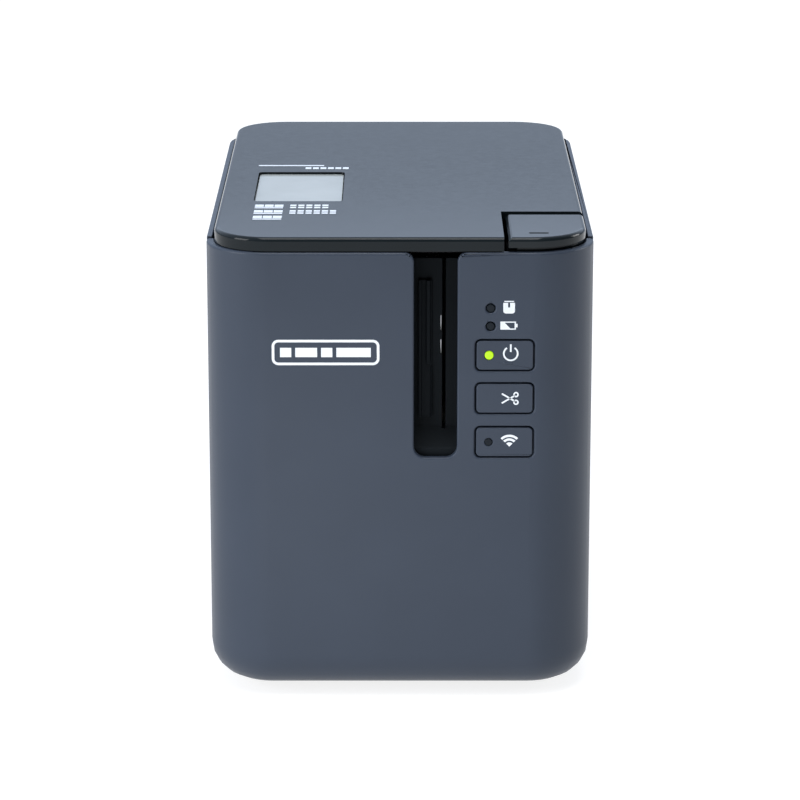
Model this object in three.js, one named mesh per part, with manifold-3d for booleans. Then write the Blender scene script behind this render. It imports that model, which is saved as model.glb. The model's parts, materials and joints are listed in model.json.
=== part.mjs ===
// Desktop label maker, millimetres, +Z up, front face at -Y, origin at the centre of the footprint.
import * as THREE from 'three';
import Module from 'manifold-3d';
import { mergeVertices } from 'three/addons/utils/BufferGeometryUtils.js';

const wasm = await Module();
wasm.setup();

// ---- Driving dimensions -------------------------------------------------------------------

const BODY = { halfX: 59, halfY: 96, corner: 19.5, bottom: 2.7, rim: 141.5, edge: 11, wall: 2.5 };
const RIM_EDGE = 0.9;
const SEAM = 0.3;
const FRONT_SEAM_Y = -75;
const REAR_SEAM_Y = 85;
const SIDE_WALL_TOP = 142;
const REAR_COVER_TOP = 134.4;

const LID = { halfX: 56.5, halfY: 95.4, corner: 17, bottom: 141.8, top: 146, skin: 2.4, edge: 1.3 };
const LID_HINGE = { y: 91, z: 141.3, barrel: 4.7, rod: 1.4, bore: 1.7, knuckle: 2.9 };
const KNUCKLES_X = [-34, 34];
const KNUCKLE_HALF = 4;
const WINDOW = { x0: -46, x1: -18, y0: -42, y1: 4.3, corner: 1.6 };
const RELEASE = { x0: 31.2, y1: -57.6, gapX: 1.3, gapY: 3, bottom: 142.8, post: { x: 43.5, y: -77 } };

const SLOT = { x0: 4.2, x1: 17.3, bottom: 77.7, lower: 3.5, upper: 3 };
const KEYS = { x0: 23.1, x1: 40.2, height: 9, corner: 1.3, gap: 0.45 };
const KEY_Z = { power: 109.8, feed: 96.35, wireless: 82.65 };
const KEY_LIGHT_X = 26.9;
const LIGHT = {
  power: 1.35, wireless: 1.15, panelRadius: 1.25, panelX: 27.3, cassetteZ: 124.4, batteryZ: 118.8,
};

const DECK = { bottom: 74, top: 77, halfX: 54, y0: -73, y1: 82 };
const BAY_PLATE = { z0: 133, z1: 135.5 };
const TAPE_X = 12.6;
const CASSETTE = { z0: 86, split: 108.5, z1: 131, wall: 1.6 };
const TAPE_ROLL = { x: -21, y: 8, radius: 21, hub: 9 };
const SUPPLY_SPOOL = { x: -35, y: -40, radius: 8.5 };

const GEAR_MODULE = 0.8;
const GEAR_Z = { z0: 78, z1: 83 };
const PLATEN = { x: 17.8, y: -51, teeth: 18, roller: 5, shaft: 1.5 };
const IDLER = { teeth: 24 };
const REDUCTION = { teeth: 40, bearing: 80 };
const PINION = { teeth: 12, bearing: 20 };
const SPINDLE = { teeth: 20, bearing: 165, post: 2.6 };
const HOLDER_PIVOT = { x: 20.8, y: -70, pin: 1.6, sleeve: 3.2 };

const CUTTER = { x: 17, z: 64, sectorTeeth: 40, pinionTeeth: 14, openAngle: 14, pin: 1.5 };
const BLADE_Y = { fixed: [-81.2, -80.2], moving: [-79.9, -78.9], sector: [-79.9, -77.5] };

const SOCKETS = {
  dc: { x: 30, width: 9.6, height: 11.4 },
  usbB: { x: 13, width: 12, height: 11 },
  usbA: { x: -5, width: 14.4, height: 7 },
  lan: { x: -25, width: 16.4, height: 13.6 },
};
const SOCKET_BASE_Z = 15.9;
const SOCKET_Y = [78, 95.4];

// ---- Solid helpers -------------------------------------------------------------------------

/** Closed manifold solid from a three.js geometry. */
function solid(geometry) {
  const bare = geometry.clone();
  bare.deleteAttribute('normal');
  bare.deleteAttribute('uv');
  const welded = mergeVertices(bare, 1e-5);
  const body = new wasm.Mesh({
    numProp: 3,
    vertProperties: new Float32Array(welded.attributes.position.array),
    triVerts: new Uint32Array(welded.index.array),
  });
  return new wasm.Manifold(body);
}

/** Axis-aligned block between two values on each axis. */
function block([x0, x1], [y0, y1], [z0, z1]) {
  const geometry = new THREE.BoxGeometry(x1 - x0, y1 - y0, z1 - z0);
  geometry.translate((x0 + x1) / 2, (y0 + y1) / 2, (z0 + z1) / 2);
  return solid(geometry);
}

/** Turned body about Z from [radius, height] points that start and end on the axis. */
function turned(points, x = 0, y = 0, segments = 20) {
  const profile = points.map(([radius, height]) => new THREE.Vector2(radius, height));
  const geometry = new THREE.LatheGeometry(profile, segments);
  geometry.rotateX(Math.PI / 2);
  geometry.translate(x, y, 0);
  return solid(geometry);
}

/** Cylinder along Z. */
function post(x, y, radius, z0, z1, segments = 20) {
  return turned([[0, z0], [radius, z0], [radius, z1], [0, z1]], x, y, segments);
}

/** Cylinder along Y centred on (x, z). */
function barY(x, z, radius, y0, y1, segments = 20) {
  const geometry = new THREE.CylinderGeometry(radius, radius, y1 - y0, segments);
  geometry.translate(x, (y0 + y1) / 2, z);
  return solid(geometry);
}

/** Cylinder along X centred on (y, z). */
function barX(y, z, radius, x0, x1, segments = 24) {
  const geometry = new THREE.CylinderGeometry(radius, radius, x1 - x0, segments);
  geometry.rotateZ(Math.PI / 2);
  geometry.translate((x0 + x1) / 2, y, z);
  return solid(geometry);
}

/** Extrusion of an XY outline from z0 to z1. */
function plate(shape, z0, z1, curveSegments = 6) {
  const geometry = new THREE.ExtrudeGeometry(shape, { depth: z1 - z0, bevelEnabled: false, curveSegments });
  geometry.translate(0, 0, z0);
  return solid(geometry);
}

/** Extrusion of an XZ outline from y0 to y1. */
function frontPlate(shape, y0, y1, curveSegments = 6) {
  const geometry = new THREE.ExtrudeGeometry(shape, { depth: y1 - y0, bevelEnabled: false, curveSegments });
  geometry.rotateX(Math.PI / 2);
  geometry.translate(0, y1, 0);
  return solid(geometry);
}

/** Extrusion of a YZ outline from x0 to x1. */
function sidePlate(shape, x0, x1, curveSegments = 8) {
  const geometry = new THREE.ExtrudeGeometry(shape, { depth: x1 - x0, bevelEnabled: false, curveSegments });
  const toSide = new THREE.Matrix4().makeBasis(
    new THREE.Vector3(0, 1, 0),
    new THREE.Vector3(0, 0, 1),
    new THREE.Vector3(1, 0, 0),
  );
  geometry.applyMatrix4(toSide);
  geometry.translate(x0, 0, 0);
  return solid(geometry);
}

/** Closed outline from straight points. */
function polygon(points) {
  return new THREE.Shape(points.map(([u, v]) => new THREE.Vector2(u, v)));
}

/** Rectangle with one radius on the lower corners and another on the upper corners. */
function roundedRect(u0, u1, v0, v1, lower, upper = lower) {
  const shape = new THREE.Shape();
  shape.moveTo(u0 + lower, v0);
  shape.absarc(u1 - lower, v0 + lower, lower, -Math.PI / 2, 0, false);
  shape.absarc(u1 - upper, v1 - upper, upper, 0, Math.PI / 2, false);
  shape.absarc(u0 + upper, v1 - upper, upper, Math.PI / 2, Math.PI, false);
  shape.absarc(u0 + lower, v0 + lower, lower, Math.PI, 1.5 * Math.PI, false);
  return shape;
}

/** Points of a rounded rectangle ring centred on the origin. */
function ring(halfX, halfY, radius, segments) {
  const centres = [[1, 1], [-1, 1], [-1, -1], [1, -1]];
  const points = [];
  centres.forEach(([sx, sy], quadrant) => {
    for (let i = 0; i <= segments; i += 1) {
      const angle = (quadrant + i / segments) * (Math.PI / 2);
      const x = sx * (halfX - radius) + radius * Math.cos(angle);
      const y = sy * (halfY - radius) + radius * Math.sin(angle);
      points.push([x, y]);
    }
  });
  return points;
}

/** Solid stacked from rounded rectangles; each level is { z, inset }. */
function loft(halfX, halfY, radius, levels, segments = 8) {
  const positions = [];
  const indices = [];
  const count = 4 * (segments + 1);
  levels.forEach(({ z, inset }) => {
    ring(halfX - inset, halfY - inset, radius - inset, segments).forEach(([x, y]) => positions.push(x, y, z));
  });
  for (let level = 0; level < levels.length - 1; level += 1) {
    for (let i = 0; i < count; i += 1) {
      const a = level * count + i;
      const b = level * count + ((i + 1) % count);
      indices.push(a, b, b + count, a, b + count, a + count);
    }
  }
  const bottom = positions.length / 3;
  positions.push(0, 0, levels[0].z, 0, 0, levels[levels.length - 1].z);
  const last = (levels.length - 1) * count;
  for (let i = 0; i < count; i += 1) {
    const next = (i + 1) % count;
    indices.push(bottom, next, i, bottom + 1, last + i, last + next);
  }
  const geometry = new THREE.BufferGeometry();
  geometry.setAttribute('position', new THREE.Float32BufferAttribute(positions, 3));
  geometry.setIndex(indices);
  return solid(geometry);
}

/** Levels of a quarter-round edge; `up` is +1 for a bottom edge and -1 for a top edge. */
function edgeLevels(z, radius, steps, up) {
  const levels = [];
  for (let i = 0; i <= steps; i += 1) {
    const angle = (i / steps) * (Math.PI / 2);
    levels.push({ z: z + up * radius * (1 - Math.cos(angle)), inset: radius * (1 - Math.sin(angle)) });
  }
  return up > 0 ? levels : levels.reverse();
}

/** Union of several solids. */
function join(first, ...others) {
  return others.reduce((sum, other) => sum.add(other), first);
}

/** One solid with several others cut away. */
function cut(first, ...others) {
  return others.reduce((rest, other) => rest.subtract(other), first);
}

/** Named mesh with its own material. */
function part(name, body, color, roughness = 0.6, metalness = 0) {
  const raw = body.getMesh();
  const geometry = new THREE.BufferGeometry();
  geometry.setAttribute('position', new THREE.Float32BufferAttribute(raw.vertProperties, raw.numProp));
  geometry.setIndex(Array.from(raw.triVerts));
  geometry.computeVertexNormals();
  const mesh = new THREE.Mesh(geometry, new THREE.MeshStandardMaterial({ color, roughness, metalness }));
  mesh.name = name;
  return mesh;
}

// ---- Colours -------------------------------------------------------------------------------

const SLATE = 0x48505d;
const GLOSS = 0x3c434c;
const BLACK = 0x16181b;
const RUBBER = 0x202224;
const STEEL = 0xb4b8bd;
const GEAR_WHITE = 0xe4e2da;
const BOARD_GREEN = 0x1f5a3a;
const LENS = 0x20262b;

// ---- Outer covers --------------------------------------------------------------------------

const bottomEdge = edgeLevels(BODY.bottom, BODY.edge, 5, 1);
const shellOuter = loft(BODY.halfX, BODY.halfY, BODY.corner, [...bottomEdge, { z: SIDE_WALL_TOP, inset: 0 }]);
const shellInner = loft(BODY.halfX - BODY.wall, BODY.halfY - BODY.wall, BODY.corner - BODY.wall, [
  { z: BODY.bottom - 1, inset: BODY.edge },
  ...bottomEdge,
  { z: SIDE_WALL_TOP + 1, inset: 0 },
]);
const shell = cut(shellOuter, shellInner);
const WIDE = [-BODY.halfX - 1, BODY.halfX + 1];

/** XZ outline of a front key, grown by `grow` on every side. */
function keyOutline(z, grow = 0) {
  const half = KEYS.height / 2 + grow;
  return roundedRect(KEYS.x0 - grow, KEYS.x1 + grow, z - half, z + half, KEYS.corner + Math.max(grow, 0));
}

/** XZ outline of the tape exit, open through the rim with flared upper corners. */
function slotOutline() {
  const { x0, x1, bottom, lower, upper } = SLOT;
  const rim = BODY.rim;
  const shape = new THREE.Shape();
  shape.moveTo(x0 + lower, bottom);
  shape.absarc(x1 - lower, bottom + lower, lower, -Math.PI / 2, 0, false);
  shape.absarc(x1 + upper, rim - upper, upper, Math.PI, Math.PI / 2, true);
  shape.lineTo(x1 + upper, rim + 1);
  shape.lineTo(x0 - upper, rim + 1);
  shape.absarc(x0 - upper, rim - upper, upper, Math.PI / 2, 0, true);
  shape.absarc(x0 + lower, bottom + lower, lower, Math.PI, 1.5 * Math.PI, false);
  return shape;
}

function frontCover() {
  const wallY = [-BODY.halfY - 1, -BODY.halfY + 6];
  const keyHoles = Object.values(KEY_Z).map((z) => frontPlate(keyOutline(z, KEYS.gap), ...wallY));
  const lightHoles = [LIGHT.cassetteZ, LIGHT.batteryZ].map(
    (z) => barY(LIGHT.panelX, z, LIGHT.panelRadius + 0.2, ...wallY, 16),
  );
  const rounded = loft(BODY.halfX, BODY.halfY, BODY.corner, [
    { z: 0, inset: 0 },
    ...edgeLevels(BODY.rim, RIM_EDGE, 3, -1),
  ]);
  const front = shell.intersect(block(WIDE, [-BODY.halfY - 1, FRONT_SEAM_Y], [0, BODY.rim]));
  return cut(front.intersect(rounded), frontPlate(slotOutline(), ...wallY), ...keyHoles, ...lightHoles);
}

/** Side wall behind the front cover; its upper edge is thinned to clear the lid. */
function sideCover(side) {
  const x = side > 0 ? [1, BODY.halfX + 1] : [-BODY.halfX - 1, -1];
  const wall = shell.intersect(block(x, [FRONT_SEAM_Y + SEAM, REAR_SEAM_Y - SEAM], [0, SIDE_WALL_TOP + 1]));
  const lidRelief = block([-LID.halfX - 0.8, LID.halfX + 0.8], [-90, 90], [134, 150]);
  return cut(wall, lidRelief);
}

/** XZ centre and size of a rear opening for one socket. */
function socketFrame(socket, grow) {
  const { x, width, height } = socket;
  const half = width / 2 + grow;
  return roundedRect(x - half, x + half, SOCKET_BASE_Z - grow, SOCKET_BASE_Z + height + grow, 0.5);
}

function rearCover() {
  const wallY = [BODY.halfY - 6, BODY.halfY + 1];
  const ports = Object.values(SOCKETS).map((socket) => frontPlate(socketFrame(socket, 0.35), ...wallY, 2));
  const louvres = [];
  for (let row = 0; row < 6; row += 1) {
    louvres.push(frontPlate(roundedRect(-30, 30, 70 + row * 7, 72.6 + row * 7, 1.2), ...wallY, 2));
  }
  const rear = shell.intersect(block(WIDE, [REAR_SEAM_Y, BODY.halfY + 1], [0, REAR_COVER_TOP]));
  return cut(rear, ...ports, ...louvres);
}

const BASE_SCREWS = [[34, -54], [-34, 54]];
const FEET = [[-38, -69], [38, -69], [-38, 72], [38, 72]];
const BOARD_POSTS = [[-33, -26], [33, -26], [-33, 70], [33, 70]];

function baseTray() {
  const plinth = plate(roundedRect(-46.5, 46.5, -80, 83, 8), 1.5, BODY.bottom - SEAM, 5);
  const floor = plate(roundedRect(-45.2, 45.2, -82.2, 82.2, 5.7), BODY.bottom - SEAM, 7.5, 3);
  const posts = BOARD_POSTS.map(([x, y]) => post(x, y, 2.8, 7.5, 13.7, 12));
  const counterbores = BASE_SCREWS.map(([x, y]) => post(x, y, 3.3, 1, 3.9, 16));
  const holes = BASE_SCREWS.map(([x, y]) => post(x, y, 1.7, 1, 9, 12));
  const vents = [];
  for (let row = -2; row <= 2; row += 1) {
    vents.push(plate(roundedRect(-22, 22, row * 8 - 1.3, row * 8 + 1.3, 1.2), 1, 9, 2));
  }
  return cut(join(plinth, floor, ...posts), ...counterbores, ...holes, ...vents);
}

function foot([x, y]) {
  return turned([[0, 0], [5.4, 0], [6, 0.6], [6, 1.2], [0, 1.2]], x, y, 20);
}

function baseScrew([x, y]) {
  const head = [[0, 2.9], [1.1, 2.4], [2.4, 2.4], [2.9, 2.8], [2.9, 3.7]];
  const shank = [[1.4, 3.7], [1.4, 8.4], [0, 9.4]];
  return turned([...head, ...shank], x, y, 14);
}

// ---- Lid group -----------------------------------------------------------------------------

/** Solid of the lid plan with its rounded top edge, between the barrel and the front band. */
function lidBlank(zFrom) {
  return loft(LID.halfX, LID.halfY, LID.corner, [
    { z: zFrom, inset: 0 },
    ...edgeLevels(LID.top, LID.edge, 4, -1),
  ]);
}

/** YZ profile of the lid: flat plate over the lower half of the hinge barrel. */
function lidProfile() {
  const { y, z, barrel } = LID_HINGE;
  const shape = new THREE.Shape();
  shape.moveTo(-BODY.halfY - 1, LID.bottom);
  shape.lineTo(y - barrel + 0.03, LID.bottom);
  shape.absarc(y, z, barrel, Math.PI - 0.11, 2 * Math.PI, false);
  shape.lineTo(BODY.halfY + 1, z + 0.6);
  shape.lineTo(BODY.halfY + 1, LID.top + 1);
  shape.lineTo(-BODY.halfY - 1, LID.top + 1);
  return shape;
}

/** Room for each fixed knuckle and for its arm as the lid turns, under an unbroken top skin. */
function knuckleNotches() {
  const { y, z, knuckle } = LID_HINGE;
  return KNUCKLES_X.map((x) => {
    const span = [x - KNUCKLE_HALF - 0.4, x + KNUCKLE_HALF + 0.4];
    const sweep = block(span, [y - 2.8, BODY.halfY + 2], [130, z + 3.3]);
    return join(barX(y, z, knuckle + 0.4, ...span), sweep);
  });
}

function lidCover() {
  const { y, z, bore } = LID_HINGE;
  const cavity = plate(roundedRect(-54.3, 54.3, -93.8, y - 7, 14), 130, LID.top - LID.skin);
  const window = plate(roundedRect(WINDOW.x0, WINDOW.x1, WINDOW.y0, WINDOW.y1, WINDOW.corner), 140, 150, 4);
  const notch = block([RELEASE.x0, 70], [-110, RELEASE.y1], [130, 150]);
  const blank = lidBlank(136).intersect(sidePlate(lidProfile(), -70, 70));
  return cut(blank, cavity, window, notch, barX(y, z, bore, -42, 42, 16), ...knuckleNotches());
}

function lidWindow() {
  const { x0, x1, y0, y1, corner } = WINDOW;
  const flange = roundedRect(x0 - 2, x1 + 2, y0 - 2, y1 + 2, 2);
  const pane = roundedRect(x0 + 0.3, x1 - 0.3, y0 + 0.3, y1 - 0.3, corner);
  return join(plate(flange, 142, LID.top - LID.skin - 0.2, 4), plate(pane, 143, LID.top - 0.7, 4));
}

function lidInnerFrame() {
  const sheet = plate(roundedRect(-53.9, 53.9, -93, 83.4, 15.5), 141, 143.3);
  const ribs = [
    block([-50, -48.5], [-80, 76], [138.2, 142]),
    block([48.5, 50], [-52, 76], [138.2, 142]),
    block([-50, 50], [60, 61.5], [138.2, 142]),
  ];
  const windowGap = block([WINDOW.x0 - 2.5, WINDOW.x1 + 2.5], [WINDOW.y0 - 2.5, WINDOW.y1 + 2.5], [130, 150]);
  const notch = block([RELEASE.x0 - 1.5, 70], [-110, RELEASE.y1 + 1.5], [130, 150]);
  return cut(join(sheet, ...ribs), windowGap, notch);
}

function lidHook() {
  return join(
    block([20, 28], [-73, -68.5], [139.2, 140.7]),
    block([25.4, 27.2], [-73, -68.5], [122.5, 139.2]),
    block([27.2, 28.3], [-73, -68.5], [124.5, 127.5]),
  );
}

function hingeRod() {
  return barX(LID_HINGE.y, LID_HINGE.z, LID_HINGE.rod, -40, 40, 16);
}

// ---- Cover release -------------------------------------------------------------------------

/** Wall of the release button just inside the covers, drawn in by `inset` on every side. */
function releaseSkirt(inset, z0, z1) {
  const halfX = BODY.halfX - BODY.wall - 0.4 - inset;
  const halfY = BODY.halfY - BODY.wall - 0.4 - inset;
  const corner = BODY.corner - BODY.wall - 0.4 - inset;
  const quarter = block([35 + inset, 70], [-110, -62 - inset], [130, 150]);
  return plate(roundedRect(-halfX, halfX, -halfY, halfY, corner), z0, z1).intersect(quarter);
}

function releaseButton() {
  const { x0, y1, gapX, gapY, bottom, post: stem } = RELEASE;
  const left = x0 + gapX;
  const back = y1 - gapY;
  const top = LID.top;
  const area = block([left, 70], [-110, back], [bottom, 150]);
  const backSlope = polygon([[back - 1.6, top + 0.1], [back + 1, top - 2.5], [back + 1, top + 0.1]]);
  const leftSlope = polygon([[left - 1, top - 2.1], [left + 1.2, top + 0.1], [left - 1, top + 0.1]]);
  const backChamfer = sidePlate(backSlope, 0, 70);
  const leftChamfer = frontPlate(leftSlope, -110, -50);
  const groove = block([39, 44.7], [-89.3, -87.9], [top - 0.5, 150]);
  const skirt = releaseSkirt(0, 138.5, bottom + 0.1);
  const hollow = releaseSkirt(1.6, 138, top - LID.skin);
  const cap = cut(lidBlank(140).intersect(area), backChamfer, leftChamfer, groove);
  return join(cut(join(cap, skirt), hollow), post(stem.x, stem.y, 3, 126, 143.7));
}

const COIL_STEPS = 12;

/** Helical wire along Z. */
function coil(x, y, radius, wire, z0, z1, turns) {
  const points = [];
  const steps = turns * COIL_STEPS;
  for (let i = 0; i <= steps; i += 1) {
    const angle = (i / COIL_STEPS) * 2 * Math.PI;
    const height = z0 + ((z1 - z0) * i) / steps;
    points.push(new THREE.Vector3(x + radius * Math.cos(angle), y + radius * Math.sin(angle), height));
  }
  const section = new THREE.Shape();
  section.absarc(0, 0, wire, 0, 2 * Math.PI, false);
  const path = new THREE.CatmullRomCurve3(points);
  const geometry = new THREE.ExtrudeGeometry(section, {
    steps, curveSegments: 5, bevelEnabled: false, extrudePath: path,
  });
  return solid(geometry);
}

function releaseSpring() {
  const { x, y } = RELEASE.post;
  return coil(x, y, 4.2, 0.4, 136.2, 142.9, 4);
}

function latchSlide() {
  return join(
    block([28.8, 51], [-73.6, -66.4], [128.6, 132.6]),
    block([46.5, 51], [-73.6, -66.4], [132, 132.6]),
  );
}

// ---- Front panel ---------------------------------------------------------------------------

function key(z, lightRadius) {
  const face = -BODY.halfY;
  const cap = frontPlate(keyOutline(z), face, face + 3.8);
  const flange = frontPlate(keyOutline(z, 1.3), face + 2.8, face + 3.8, 3);
  const stem = barY(33.5, z, 2, face + 3.8, face + 4.6, 12);
  const body = join(cap, flange, stem);
  return lightRadius ? cut(body, barY(KEY_LIGHT_X, z, lightRadius + 0.1, face - 1, face + 5, 16)) : body;
}

function keyLight(z, radius) {
  return barY(KEY_LIGHT_X, z, radius, -BODY.halfY, -BODY.halfY + 3.7, 16);
}

function panelLight(z) {
  return barY(LIGHT.panelX, z, LIGHT.panelRadius, -BODY.halfY + 0.2, -88, 16);
}

function panelBoard() {
  return block([21, 43], [-86.5, -85], [72, 129]);
}

function tactSwitch(z) {
  return join(block([30.5, 36.5], [-89.6, -86.8], [z - 3, z + 3]), barY(33.5, z, 1.6, -90.4, -89.6, 12));
}

/** Black channel behind the tape exit; its back wall has a slit for the tape and two sight notches. */
function exitChute() {
  const shellBlock = block([SLOT.x0 - 2, SLOT.x1 + 2], [-93.2, -83.4], [68, 137.5]);
  const profile = polygon([[-97, SLOT.bottom], [-85, 85], [-85, 150], [-97, 150]]);
  const channel = sidePlate(profile, SLOT.x0, SLOT.x1);
  const slit = block([TAPE_X + 0.3, TAPE_X + 1.3], [-86, -82], [80, 150]);
  const notches = [[114.6, 119.6], [107.4, 112]].map(
    (span) => block([TAPE_X - 0.3, TAPE_X + 0.4], [-86, -82], span),
  );
  return cut(shellBlock, channel, slit, ...notches);
}

/** Moulded ribs on the face of the chute that keep the tape upright. */
function tapeGuide() {
  return join(
    block([5.6, 6.6], [-86.6, -85.2], [88, 131]),
    block([6.6, 9.8], [-85.9, -85.2], [88, 131]),
    block([8, 9.2], [-87.4, -85.2], [105, 131]),
    block([9.4, 9.8], [-86.8, -85.2], [88, 104]),
  );
}

// ---- Gears ---------------------------------------------------------------------------------

/** Outline of a spur gear with a tooth centred at angle `phase` (radians). */
function gearOutline(teeth, phase) {
  const pitch = (GEAR_MODULE * teeth) / 2;
  const flank = [
    [pitch - 1.2 * GEAR_MODULE, 0.66],
    [pitch, 0.5],
    [pitch + 0.92 * GEAR_MODULE, 0.22],
  ];
  const points = [];
  for (let tooth = 0; tooth < teeth; tooth += 1) {
    const centre = phase + (tooth / teeth) * 2 * Math.PI;
    flank.forEach(([radius, half]) => points.push([radius, centre - half / radius]));
    [...flank].reverse().forEach(([radius, half]) => points.push([radius, centre + half / radius]));
  }
  return polygon(points.map(([radius, angle]) => [radius * Math.cos(angle), radius * Math.sin(angle)]));
}

/** Gear placed at `bearing` degrees from a mate so that their teeth interleave. */
function meshed(mate, teeth, bearing) {
  const direction = THREE.MathUtils.degToRad(bearing);
  const distance = (GEAR_MODULE * (mate.teeth + teeth)) / 2;
  const mateStep = (2 * Math.PI) / mate.teeth;
  const offset = 0.5 - (direction - mate.phase) / mateStep;
  return {
    x: mate.x + distance * Math.cos(direction),
    y: mate.y + distance * Math.sin(direction),
    teeth,
    phase: direction + Math.PI - (offset * 2 * Math.PI) / teeth,
  };
}

const platenGearAt = { ...PLATEN, phase: 0 };
const idlerAt = meshed(platenGearAt, IDLER.teeth, 180);
const reductionAt = meshed(idlerAt, REDUCTION.teeth, REDUCTION.bearing);
const pinionAt = meshed(reductionAt, PINION.teeth, PINION.bearing);
const spindleAt = meshed(idlerAt, SPINDLE.teeth, SPINDLE.bearing);

/** Flat spur gear on a vertical axis without its bore. */
function gearBlank({ x, y, teeth, phase }) {
  const geometry = new THREE.ExtrudeGeometry(gearOutline(teeth, phase), {
    depth: GEAR_Z.z1 - GEAR_Z.z0,
    bevelEnabled: false,
  });
  geometry.translate(x, y, GEAR_Z.z0);
  return solid(geometry);
}

function boredGear(at, bore) {
  return cut(gearBlank(at), post(at.x, at.y, bore, GEAR_Z.z0 - 1, GEAR_Z.z1 + 1, 16));
}

/** Web recess and spoke windows for the large gear. */
function reductionGear() {
  const { x, y } = reductionAt;
  const holes = [];
  for (let spoke = 0; spoke < 5; spoke += 1) {
    const angle = (spoke / 5) * 2 * Math.PI;
    holes.push(post(x + 8 * Math.cos(angle), y + 8 * Math.sin(angle), 2.6, GEAR_Z.z0 - 1, GEAR_Z.z1 + 1, 12));
  }
  const hub = post(x, y, 3.2, GEAR_Z.z1 - 0.1, GEAR_Z.z1 + 1, 16);
  return cut(join(gearBlank(reductionAt), hub), post(x, y, 1.8, GEAR_Z.z0 - 1, 90, 16), ...holes);
}

function motorPinion() {
  return join(gearBlank(pinionAt), post(pinionAt.x, pinionAt.y, 1.1, 70, GEAR_Z.z0 + 1, 12));
}

function ribbonSpindle() {
  const { x, y } = spindleAt;
  const fins = [0, 1, 2].map((fin) => {
    const blade = new THREE.BoxGeometry(6.2, 0.9, 34);
    blade.rotateZ((fin * Math.PI) / 3);
    blade.translate(x, y, 107);
    return solid(blade);
  });
  const shaft = join(gearBlank(spindleAt), post(x, y, SPINDLE.post, GEAR_Z.z1 - 1, 125, 16), ...fins);
  return cut(shaft, post(x, y, 1.8, GEAR_Z.z0 - 1, 85.5, 16));
}

function ribbonTakeup() {
  const { x, y } = spindleAt;
  return cut(post(x, y, 6.2, 91, 126, 20), post(x, y, 3.3, 90, 127, 16));
}

// ---- Chassis -------------------------------------------------------------------------------

const LEGS = [[-41.5, -60], [41.5, -60], [-41.5, 72], [41.5, 72]];

function chassisDeck() {
  const { bottom, top, halfX, y0, y1 } = DECK;
  const sheet = plate(roundedRect(-halfX, halfX, y0, y1, 5), bottom, top, 4);
  const legs = LEGS.map(([x, y]) => post(x, y, 3.2, 7.8, bottom + 1, 14));
  const pins = [idlerAt, reductionAt, spindleAt].map(
    ({ x, y }) => post(x, y, 1.5, top - 1, GEAR_Z.z1 + 1.2, 14),
  );
  const hingePin = post(HOLDER_PIVOT.x, HOLDER_PIVOT.y, HOLDER_PIVOT.pin, top - 1, 134, 16);
  const motorHole = post(pinionAt.x, pinionAt.y, 4, 70, 80, 16);
  return cut(join(sheet, ...legs, ...pins, hingePin), motorHole);
}

/** Plan outline of the tape cassette, grown by `grow`. */
function cassetteOutline(grow) {
  const g = grow;
  return polygon([
    [-48 - g, 34 + g], [-48 - g, -54 - g], [-42 - g, -60 - g], [4.5 + g, -60 - g],
    [4.5 + g, -41 - g], [12 + g, -41 - g], [12 + g, -33 + g], [4.5 + g, -27 + g], [4.5 + g, 34 + g],
  ]);
}

/** Top panel of the tape bay with its side walls, hinge knuckles and latch guide. */
function bayDeck() {
  const { z0, z1 } = BAY_PLATE;
  const { y, z, bore, knuckle } = LID_HINGE;
  const stem = RELEASE.post;
  const sheet = plate(roundedRect(-55.5, 55.5, -90, 84, 12), z0, z1);
  const walls = [
    block([-51, -49.4], [-55, 37], [77.3, z0 + 1]),
    block([-49.4, 34], [36, 37.6], [77.3, z0 + 1]),
    block([33.6, 35.2], [-60, 37.6], [77.3, z0 + 1]),
  ];
  const knuckles = KNUCKLES_X.map((x) => {
    const span = [x - KNUCKLE_HALF, x + KNUCKLE_HALF];
    const arm = join(block(span, [80, 93], [130.5, z1]), block(span, [89, 93], [134, z]));
    return cut(join(arm, barX(y, z, knuckle, ...span)), barX(y, z, bore, span[0] - 1, span[1] + 1, 16));
  });
  const guide = join(
    block([52.6, 54.2], [-73.6, -66.4], [126.4, z0 + 1]),
    block([36, 54.2], [-73.6, -66.4], [126.4, 128.2]),
  );
  const gearWell = plate(roundedRect(3, 33, -83.6, -8, 3), 120, 140, 4);
  const chuteGap = block([SLOT.x0 - 2.4, SLOT.x1 + 2.4], [-100, -80], [120, 140]);
  const cassetteGap = plate(cassetteOutline(1.2), 120, 140);
  const stemHole = post(stem.x, stem.y, 3.4, 120, 140);
  const opened = cut(sheet, cassetteGap, gearWell, chuteGap, stemHole);
  return join(opened, ...walls, ...knuckles, guide);
}

// ---- Tape cassette -------------------------------------------------------------------------

function cassetteCavity(z0, z1) {
  const cavity = polygon([[-46.4, 32.4], [-46.4, -53.4], [-41.4, -58.4], [2.9, -58.4], [2.9, 32.4]]);
  return plate(cavity, z0, z1);
}

function cassetteLower() {
  const { z0, split, wall } = CASSETTE;
  const hub = cut(
    post(TAPE_ROLL.x, TAPE_ROLL.y, TAPE_ROLL.hub - 0.4, z0 + wall - 0.5, 126, 24),
    post(TAPE_ROLL.x, TAPE_ROLL.y, TAPE_ROLL.hub - 2, z0 - 1, 127, 24),
  );
  const tray = cut(
    plate(cassetteOutline(0), z0, split - 0.15),
    cassetteCavity(z0 + wall, split + 1),
    post(TAPE_ROLL.x, TAPE_ROLL.y, TAPE_ROLL.hub - 2, z0 - 1, 127, 24),
    post(spindleAt.x, spindleAt.y, 3.6, z0 - 1, z0 + wall + 1, 16),
  );
  return join(tray, hub);
}

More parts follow.
